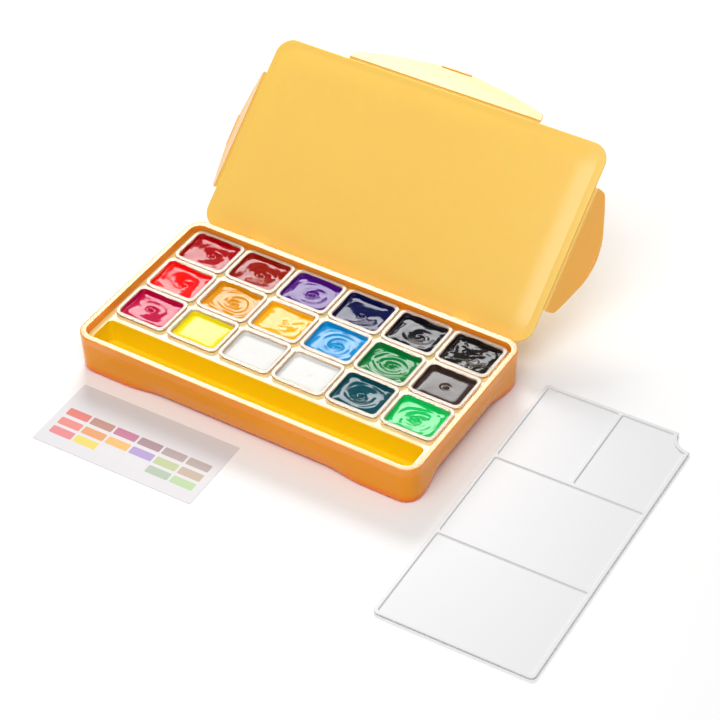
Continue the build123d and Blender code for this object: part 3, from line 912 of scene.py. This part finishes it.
@dataclass
class Flap:
    """A closing flap that hangs from an edge of the lid by a thin crease."""

    name: str
    outward: Vector
    crease: Vector
    lean: float
    half: float
    bell_points: Sequence[tuple[float, float]]
    reach: float = 24.6
    thickness: float = 1.6
    root: float = 0.4
    bow: float = 0.9
    bow_start: float = 10.5

    def build(self) -> None:
        """Model the panel with its hook, and the crease that carries it."""
        place = Matrix((*zip(self.away, self.along, self.inner, self.axis_point), (0, 0, 0, 1)))
        outline = smooth_curve([*self.bell_points, (self.reach, 0.0),
             *[(reach, -along) for reach, along in reversed(self.bell_points)]], 6)

        def spread(across: float, out: float) -> Vector:
            """Place a point of the grid between the crease and the outline."""
            edge = along_path(outline, across)
            spot = Vector((self.root, -across * self.half)).lerp(edge, (out + 1) / 2)
            turned = max(0.0, (spot.x - self.bow_start) / (self.reach - self.bow_start))
            bend = self.bow * (math.sqrt(turned * turned + 0.01) - 0.1)
            return Vector((spot.x, spot.y, bend))

        panel = Blank.grid(f"{self.name}_panel", len(outline) - 1, 10, spread)
        panel.face_outwards()
        sheet = panel.loose()
        use(sheet, "SOLIDIFY", thickness=self.thickness, offset=0.0, use_even_offset=True)
        use(sheet, "BEVEL", width=0.4, segments=3, limit_method="ANGLE", angle_limit=math.radians(50))
        hook = Blank.block("hook", (1.6, 28.0, 1.0), (self.reach - 2.2, 0, 1.0), 0.5, 3)
        hook.pick(Pick.EDGES, lambda edge: at_height(edge, 2.0))
        hook.bevel(0.4, 3)
        combine(sheet, hook.loose(), "UNION")
        finish_piece(sheet, place)
        PAINTED_LIGHT_FLAP_PLASTIC.dress(sheet)
        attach(sheet, self.name)
        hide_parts(self.name)
        self.build_crease()

    @property
    def along(self) -> Vector:
        """Direction of the crease, chosen so that along, inner and away turn right-handed."""
        return self.inner.cross(self.away)

    @property
    def away(self) -> Vector:
        """Direction from the crease to the free edge, at rest."""
        lean = math.radians(self.lean)
        return self.outward * math.cos(lean) - LID_INWARD * math.sin(lean)

    @property
    def inner(self) -> Vector:
        """Direction the flap's inner side looks, at rest."""
        lean = math.radians(self.lean)
        return LID_INWARD * math.cos(lean) + self.outward * math.sin(lean)

    @property
    def axis_point(self) -> Vector:
        """Middle of the crease."""
        return (LID_EDGE + Vector((1, 0, 0)) * self.crease.x + LID_ALONG * self.crease.y
                + LID_INWARD * self.crease.z)

    def build_crease(self) -> None:
        """Model the bending strip between the lid's edge and the flap's root."""
        lean = math.radians(self.lean)
        profile = [(-2.4, 0.0), (-1.6, 0.0), (-0.8, 0.0)]
        for step in range(7):
            turn = lean * step / 6
            profile.append((-0.5 + 0.9 * step / 6 * math.cos(turn / 2), -0.55 * math.sin(turn) * step / 6))
        profile.append((1.3 * math.cos(lean), -1.3 * math.sin(lean)))
        along = self.along
        path = [Vector(point) for point in profile]

        def spread(across: float, out: float) -> Vector:
            """Place a point of the grid on the strip."""
            spot = along_path(path, out)
            return (self.axis_point + along * across * (self.half - 0.4)
                    + self.outward * spot.x + LID_INWARD * spot.y)

        strip = Blank.grid(f"{self.name}_crease", 24, len(profile) - 1, spread).loose()
        use(strip, "SOLIDIFY", thickness=0.5, offset=0.0, use_even_offset=True)
        finish_piece(strip)
        PAINTED_LIGHT_FLAP_PLASTIC.dress(strip)
        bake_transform(strip)


# half a flap's outline from its root, as (out, along), and where the creases lie on the lid
SIDE_BELL = [(4.6, 52.2), (7.2, 51.2), (9.2, 48.6), (13.4, 40.0), (17.8, 29.0), (22.3, 17.0)]
FRONT_BELL = [(4.6, 88.9), (7.2, 87.6), (9.0, 84.4), (13.8, 67.0), (19.3, 40.0), (23.3, 16.0)]
SIDE_CREASE = 156.05
FRONT_CREASE = 169.87
CREASE_DROP = -1.1


# --- cups and paint
@dataclass
class CupSet:
    """Eighteen alike cups, modelled once, with a flat flange round the top."""

    flange_top: float = CUP_TOP
    flange_thickness: float = 1.6
    floor: float = 3.4
    wall: float = 1.0

    def pattern(self) -> Piece:
        """Model one cup, centred on X and Y."""
        under = self.flange_top - self.flange_thickness
        body = tapered("cup", 21.6, 17.8, 5.0, under + 0.4, self.floor, CUP_TAPER, 1.5)
        flange = Blank.block("flange", (47.6, 39.6, self.flange_thickness), (0, 0, under), 6.0, 10)
        for height, radius in ((self.flange_top, 0.6), (under, 0.4)):
            flange.pick(Pick.EDGES, lambda edge: at_height(edge, height))
            flange.bevel(radius, 3)
        combine(body, flange.loose(), "UNION")
        hollow = tapered("hollow", 20.6, 16.8, 4.0, self.flange_top, self.floor + self.wall, CUP_TAPER,
                         1.0, 0.8)
        combine(body, hollow, "DIFFERENCE")
        return body

    def build(self, names: Sequence[Sequence[str]]) -> None:
        """Set a copy of the cup in each pocket.

        Args:
            names: the paints' names, row by row from the front.
        """
        pattern = self.pattern()
        for row, y in zip(names, CUP_ROWS):
            for name, x in zip(row, CUP_COLUMNS):
                cup = copy_at(pattern, f"cup_shell_{name}", (x, y, 0))
                finish_piece(cup)
                CUP_PLASTIC.dress(cup)
                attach(cup, f"cup_{name}")
                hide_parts(f"cup_{name}")
        bpy.data.objects.remove(pattern, do_unlink=True)


@dataclass(frozen=True)
class Paint:
    """One cupful of gouache, with the surface its filling left."""

    name: str
    colour: str
    streak: str
    streak_share: float = 0.25
    level: float = 28.2
    ripple: float = 0.5
    curl: float = 0.5
    rings: float = 0.02
    peak: float = 0.8
    slump: float = 0.8
    tilt: tuple[float, float] = (0.0, 0.0)
    middle: tuple[float, float] = (1.0, 0.0)
    climb: float = 3.2
    choppy: float = 0.0
    bubbles: int = 0
    bowl: float = 1.4
    roughness: float = 0.09
    seed: float = 0.0
    ceiling: float = 31.2
    floor: float = 4.45

    def height(self, x: float, y: float, ring: float) -> float:
        """Measure the surface's height at a place in the cup.

        Args:
            x: place across the cup.
            y: place along the cup.
            ring: 0 in the middle of the cup, 1 at its wall.

        Returns:
            The height above the table.
        """
        away = Vector((x - self.middle[0], (y - self.middle[1]) * 1.3))
        far = away.length
        turn = math.atan2(away.y, away.x)
        slow = noise.noise(Vector((x / 19.0, y / 15.0, self.seed)))
        rolled = noise.noise(Vector((x / 11.0, y / 9.0, self.seed + 2.0)))
        height = self.level + self.ripple * (2.4 * slow + 0.5 * rolled)
        height += (self.tilt[0] * x + self.tilt[1] * y) * (1.0 - ring ** 4)
        height += self.bowl * (0.5 - math.exp(-(far / 14.0) ** 2))
        # the last of the ribbon of paint winds into the middle and ends in a tip
        spiral = math.sin(turn + 2.0 * math.log(far + 1.5) + 0.8 * slow + self.seed)
        height += (self.curl * math.exp(-(spiral / 0.6) ** 2) * math.exp(-(far / 9.0) ** 2)
                   * smoothstep(far / 2.5))
        height += (self.rings * math.sin(far * 1.05 + turn + 3.5 * slow + 1.2 * rolled)
                   * smoothstep(far / 4.0))
        height += (self.peak * math.exp(-(far / 1.6) ** 2)
                   - 0.6 * self.peak * math.exp(-((far - 3.4) / 1.5) ** 2))
        fold = noise.noise(Vector((x / 13.0 + 0.8 * slow, y / 7.0 + slow, self.seed + 7.0)))
        height += self.choppy * (0.6 - min(1.0, abs(fold) * 3.0)) * smoothstep((1.0 - ring) * 5.0)
        for bubble in range(self.bubbles):
            spot = Vector((13.0 * math.sin(self.seed + 2.4 * bubble),
                           10.5 * math.cos(2.0 * self.seed + 3.7 * bubble)))
            near = (Vector((x, y)) - spot).length
            height -= 0.7 * math.exp(-(near / 0.7) ** 2)
        # the surface slumps towards the wall, and clings to it at the back and the left
        wall = (1.0 - ring) * 17.0
        height -= self.slump * math.exp(-(wall / 3.2) ** 2)
        side = 0.35 + 0.65 * (0.5 + 0.5 * math.cos(math.atan2(y, x) - 2.1))
        rag = 1.05 + 0.5 * noise.noise(Vector((x / 9.0, y / 9.0, self.seed + 3.0)))
        height += self.climb * side * max(0.1, rag) * smoothstep((ring - 0.94) / 0.06)
        return min(height, self.ceiling)

    def build(self, x: float, y: float) -> None:
        """Model the paint standing in its cup.

        Args:
            x: the cup's centre.
            y: the cup's centre.
        """
        half_x, half_y, corner = 20.75, 16.95, 4.1

        def spread(across: float, along: float) -> Vector:
            """Place a point of the grid on the paint's surface."""
            ring = max(abs(across), abs(along))
            if ring < 1e-6:
                return Vector((0, 0, self.height(0, 0, 0)))
            eased = 1.0 - (1.0 - ring) ** 1.15
            edge = Vector((half_x * across / ring, half_y * along / ring))
            core = Vector((min(max(edge.x, corner - half_x), half_x - corner),
                min(max(edge.y, corner - half_y), half_y - corner)))
            spot = (core + (edge - core).normalized() * corner) * eased
            high = self.height(spot.x, spot.y, eased)
            draw_in = CUP_TAPER * (CUP_TOP - high)
            return Vector((spot.x * (1 - draw_in / half_x), spot.y * (1 - draw_in / half_y), high))

        blank = Blank.grid(f"gouache_{self.name}", 84, 72, spread)
        blank.pick(Pick.EDGES, lambda edge: len(edge.link_faces) == 1)
        drop = 60.0
        blank.extrude((0, 0, -drop))

        def floored(at: Vector) -> Vector:
            """Bring the bottom ring in to the cup's floor."""
            if at.z > 0:
                return at
            share = CUP_TAPER * (at.z + drop - 4.5)
            return Vector((at.x * (1 - share / half_x), at.y * (1 - share / half_y), self.floor))

        blank.move(floored)
        bpy.ops.mesh.edge_face_add()
        blank.face_outwards()
        body = blank.loose()
        finish_piece(body, Matrix.Translation((x, y, 0)), 60.0)
        GouachePaste(f"paste_{self.name}", f"gouache_{self.name}", self.colour, self.roughness, 1.34,
                     streak=self.streak, streak_share=self.streak_share).dress(body)
        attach(body, f"cup_{self.name}")
        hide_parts(f"paint_{self.name}")


# rows from the front of the box to its back, each from left to right
PAINTS = [
    [
        Paint("magenta", "#BC0040", "#D92A68", seed=1.0, ripple=0.4, curl=0.3, middle=(-2.0, 1.0),
              bowl=1.8),
        Paint("lemon_yellow", "#F5E000", "#FCEB4A", seed=2.2, ripple=0.15, curl=0.05, rings=0.0, peak=0.1,
              slump=1.1, climb=1.6, bowl=0.2, roughness=0.14),
        Paint("white_left", "#DEDDDA", "#E2E2E0", seed=3.1, ripple=0.1, curl=0.08, rings=0.0, peak=0.1,
              slump=0.4, climb=1.2, bowl=0.0, roughness=0.4),
        Paint("white_right", "#DFDFDC", "#E2E2E0", seed=4.7, ripple=0.1, curl=0.1, peak=0.2, slump=0.4,
              climb=1.2, bowl=0.0, roughness=0.4),
        Paint("dark_teal", "#034650", "#196A79", seed=5.3, curl=0.4, rings=0.05, middle=(-2.0, 1.0),
              bowl=1.9),
        Paint("emerald", "#0CC45C", "#41D67F", seed=6.9, ripple=0.3, rings=0.06, middle=(0.0, -1.5),
              climb=3.0, bubbles=5, bowl=1.2),
    ],
    [
        Paint("bright_red", "#F50606", "#F82A20", seed=7.4, curl=0.6, tilt=(0.04, 0.08), middle=(3.0, -1.0),
              climb=2.4, bowl=2.0),
        Paint("ochre", "#DD9000", "#E8A624", seed=8.8, ripple=0.35, rings=0.1, middle=(1.5, 0.0),
              climb=2.6),
        Paint("golden_yellow", "#FBB000", "#FDC028", seed=9.6, curl=0.2, peak=0.2, climb=1.8, choppy=0.15,
              bowl=0.8),
        Paint("sky_blue", "#008CCC", "#2AA8E0", seed=10.1, ripple=0.45, rings=0.1, middle=(2.0, -2.0),
              climb=2.8),
        Paint("green", "#007A34", "#2AA45C", seed=11.7, ripple=0.4, rings=0.12, middle=(1.0, 0.5),
              bubbles=2),
        Paint("umber", "#3A2A26", "#62524C", seed=12.2, ripple=0.15, curl=0.1, rings=0.0, peak=0.5,
              bowl=0.0, roughness=0.14),
    ],
    [
        Paint("dark_red", "#A80006", "#C01018", seed=13.9, tilt=(0.05, 0.1), middle=(2.0, 0.0), bowl=2.0),
        Paint("red_brown", "#961400", "#B04030", seed=14.4, ripple=0.45, rings=0.03, tilt=(0.03, 0.07),
              middle=(0.5, 0.0), climb=3.6, bowl=1.8),
        Paint("purple", "#4E0C7C", "#7A34A8", seed=15.5, ripple=0.4, rings=0.06, peak=1.0, climb=3.4,
              bowl=1.6),
        Paint("navy", "#040A42", "#20245E", seed=16.3, curl=0.4, tilt=(0.04, 0.08), middle=(-1.0, -1.0),
              climb=3.0, bowl=2.1),
        Paint("blue_black", "#0C0D18", "#282A38", seed=17.8, ripple=0.45, curl=0.8, rings=0.04, peak=0.4,
              middle=(2.0, 0.0), climb=2.8, bowl=1.6),
        Paint("black", "#16120F", "#38332E", seed=18.2, ripple=0.4, curl=0.2, peak=0.3, climb=2.6,
              choppy=0.45, bubbles=6),
    ],
]


# --- loose pieces
@dataclass
class MixingPalette:
    """A flat palette with four shallow wells, and a thumb notch in one corner."""

    half_x: float = 64.5
    half_y: float = 137.5
    height: float = 2.5
    well_floor: float = 1.2
    rim: float = 3.0
    notch: float = 16.0
    lip_low: float = 1.3
    foot_inset: float = 1.5
    centre: tuple[float, float] = (243.3, -49.9)
    turn: float = 1.4

    def build(self) -> None:
        """Model the palette flat at the origin, then lay it beside the box."""
        blank = Blank.block("palette_moulding", (2 * self.half_x, 2 * self.half_y, self.height), (0, 0, 0),
                            4.0, 8)
        # the side leans in under a lip, down to a smaller foot
        blank.slice_at(2, (self.lip_low,))
        blank.move(self.footed)
        board = blank.loose()
        combine(board, self.disc(self.notch, -1.0), "DIFFERENCE")
        use(board, "BEVEL", width=0.5, segments=3, limit_method="ANGLE", angle_limit=math.radians(50))
        inner_x, inner_y, half_bar = self.half_x - self.rim, self.half_y - self.rim, self.rim / 2
        front, back, middle = -44.5, 47.0, 1.0
        for left, right, low, high, notched in ((-inner_x, inner_x, -inner_y, front - half_bar, False),
            (-inner_x, inner_x, front + half_bar, back - half_bar, False),
            (-inner_x, middle - half_bar, back + half_bar, inner_y, False),
            (middle + half_bar, inner_x, back + half_bar, inner_y, True)):
            combine(board, self.well(left, right, low, high, notched), "DIFFERENCE")
        finish_piece(board, laid(self.centre, self.turn))
        PALETTE_PLASTIC.dress(board)
        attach(board, "mixing_palette")
        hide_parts("mixing_palette")

    def footed(self, at: Vector) -> Vector:
        """Draw a point in, if it lies below the lip."""
        drawn = self.foot_inset * max(0.0, 1.0 - at.z / self.lip_low)
        return Vector((at.x * (1 - drawn / self.half_x), at.y * (1 - drawn / self.half_y), at.z))

    def disc(self, radius: float, low: float) -> Piece:
        """Make a round cutter at the notched corner."""
        bpy.ops.object.select_all(action="DESELECT")
        bpy.ops.mesh.primitive_cylinder_add(vertices=96, radius=radius, depth=8.0,
                                            location=(self.half_x, self.half_y, low + 4.0))
        return Blank("disc", bpy.context.object).loose()

    def well(self, left: float, right: float, low: float, high: float, notched: bool) -> Piece:
        """Make the cutter of one well.

        Args:
            left: its left edge.
            right: its right edge.
            low: its front edge.
            high: its back edge.
            notched: whether the thumb notch takes its corner.

        Returns:
            The cutter, with a flared mouth and a rounded floor.
        """
        cutter = tapered("well", (right - left) / 2, (high - low) / 2, 2.0, self.height,
                         self.well_floor, 0.2, 0.5, 0.4)
        cutter.data.transform(Matrix.Translation(((left + right) / 2, (low + high) / 2, 0)))
        if notched:
            combine(cutter, self.disc(self.notch + self.rim, -2.0), "DIFFERENCE")
        return cutter


@dataclass
class ColourCard:
    """A printed card with a patch of each of the colours, left without lettering."""

    size: tuple[float, float, float] = (145.0, 69.5, 0.4)
    centre: tuple[float, float] = (-63.9, -131.8)
    turn: float = 1.0
    patch: tuple[float, float] = (20.4, 8.0)
    first_patch: float = -55.8
    patch_pitch: float = 22.26

    def build(self) -> None:
        """Lay the card in front of the box and print its patches."""
        place = laid(self.centre, self.turn)
        card = Blank.block("card_board", self.size, (0, 0, 0), 1.2, 6)
        for height in (0.0, self.size[2]):
            card.pick(Pick.EDGES, lambda edge: at_height(edge, height))
            card.bevel(0.08, 2)
        board = card.loose()
        finish_piece(board, place)
        CARD_BOARD.dress(board)
        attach(board, "colour_card")
        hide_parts("colour_card")
        for row, (y, inks) in enumerate(CARD_INKS):
            for column, (name, colour) in enumerate(inks.items()):
                x = self.first_patch + self.patch_pitch * column
                ink = Blank.block(f"card_ink_{row}_{column}", (*self.patch, 0.02),
                                  (x, y, self.size[2] - 0.012), 1.2, 6).loose()
                finish_piece(ink, place)
                CoatedCard(f"ink_{name}", "coated_card", colour, 0.5, 1.45).dress(ink)
                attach(ink, "colour_card")


# pale printing inks, row by row from the back of the card, with each row's place on it
CARD_INKS = [
    (3.5, {"coral": "#DD7A70", "clay": "#BB8A7C", "rose": "#C27893", "mauve": "#A88A93", "pebble": "#B2A09E",
           "sand": "#B5A7A0"}),
    (-8.0, {"salmon": "#E3887E", "apricot": "#E19C62", "honey": "#E9B868", "lilac": "#B09ACC",
            "moss": "#BCC998", "oat": "#C4B09C"}),
    (-18.9, {"blush": "#E28589", "lemon": "#E9D463", "left_white": "#E0DEE0", "right_white": "#E0DEE0",
             "sage": "#B0C1AB", "leaf": "#B8D3A2"}),
]


# --- the studio
@dataclass
class Studio:
    """A pale floor, soft lights and the camera."""

    eye: tuple[float, float, float] = (793.21, -1169.60, 1271.76)
    yaw: float = 32.185
    pitch: float = 41.7286
    roll: float = -0.9465
    lens: float = 120.33

    def build(self) -> None:
        """Set up the scene round the object."""
        self.floor()
        self.softbox("glare_softbox", (-0.417, 0.615, 0.669), 1.6, (0.7, 0.5), 13.5)
        self.softbox("top_softbox", (0.15, -0.42, 0.9), 1.7, (1.2, 0.9), 15.0)
        world = bpy.data.worlds.new("studio")
        world.use_nodes = True
        world.node_tree.nodes["Background"].inputs["Color"].default_value = (1.0, 1.0, 1.0, 1.0)
        world.node_tree.nodes["Background"].inputs["Strength"].default_value = 0.4
        bpy.context.scene.world = world
        self.camera()
        bpy.context.scene.view_settings.view_transform = "Standard"

    def floor(self) -> None:
        """Lay a wide pale floor at the height of the table."""
        bpy.ops.object.select_all(action="DESELECT")
        bpy.ops.mesh.primitive_plane_add(size=12.0, location=(0, 0, 0))
        floor = bpy.context.object
        floor.name = "floor"
        material = bpy.data.materials.new("floor")
        material.use_nodes = True
        shader = material.node_tree.nodes["Principled BSDF"]
        shader.inputs["Base Color"].default_value = (0.92, 0.92, 0.92, 1.0)
        shader.inputs["Roughness"].default_value = 0.6
        floor.data.materials.append(material)

    def softbox(self, name: str, direction: Sequence[float], distance: float,
                size: Sequence[float], power: float) -> None:
        """Hang a soft light that faces the object.

        Args:
            name: the light's name.
            direction: where it hangs from the object.
            distance: how far, in metres.
            size: its width and height, in metres.
            power: its power, in watts.
        """
        light = bpy.data.lights.new(name, "AREA")
        light.shape = "RECTANGLE"
        light.size, light.size_y = size
        light.energy = power
        lamp = bpy.data.objects.new(name, light)
        towards = Vector(direction).normalized()
        lamp.location = towards * distance
        lamp.rotation_euler = towards.to_track_quat("Z", "Y").to_euler()
        bpy.context.collection.objects.link(lamp)

    def camera(self) -> None:
        """Aim the scene's camera."""
        yaw, pitch, roll = (math.radians(angle) for angle in (self.yaw, self.pitch, self.roll))
        ahead = Vector((-math.sin(yaw) * math.cos(pitch), math.cos(yaw) * math.cos(pitch),
                        -math.sin(pitch)))
        level = Vector((math.cos(yaw), math.sin(yaw), 0.0))
        above = level.cross(ahead)
        right = level * math.cos(roll) + above * math.sin(roll)
        above = above * math.cos(roll) - level * math.sin(roll)
        lens = bpy.data.cameras.new("camera")
        lens.lens = self.lens
        lens.sensor_width = 36.0
        camera = bpy.data.objects.new("camera", lens)
        columns = (right, above, -ahead)
        camera.matrix_world = (Matrix.Translation(Vector(self.eye) * MM)
                               @ Matrix(columns).transposed().to_4x4())
        bpy.context.collection.objects.link(camera)
        bpy.context.scene.camera = camera


def main() -> None:
    """Build every piece and the studio."""
    logging.basicConfig(level=logging.INFO)
    Tray().build()
    LOG.info("tray done")
    Lid().build()
    sideways = Vector((1, 0, 0))
    for flap in (
        Flap("flap_front", LID_ALONG, Vector((0, FRONT_CREASE, CREASE_DROP)), 32.0, 89.5, FRONT_BELL,
             bow=0.4),
        Flap("flap_left", -sideways, Vector((-SIDE_CREASE, 82.0, CREASE_DROP)), 52.0, 52.8, SIDE_BELL),
        Flap("flap_right", sideways, Vector((SIDE_CREASE, 82.0, CREASE_DROP)), 52.0, 52.8, SIDE_BELL)):
        flap.build()
    LOG.info("lid done")
    CupSet().build([[paint.name for paint in row] for row in PAINTS])
    for row, y in zip(PAINTS, CUP_ROWS):
        for paint, x in zip(row, CUP_COLUMNS):
            paint.build(x, y)
    LOG.info("cups and paint done")
    MixingPalette().build()
    ColourCard().build()
    for pin in ("hinge_pin_left", "hinge_pin_right"):
        PIN_STEEL.dress(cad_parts[pin])
    Studio().build()


if __name__ == "__main__":
    main()
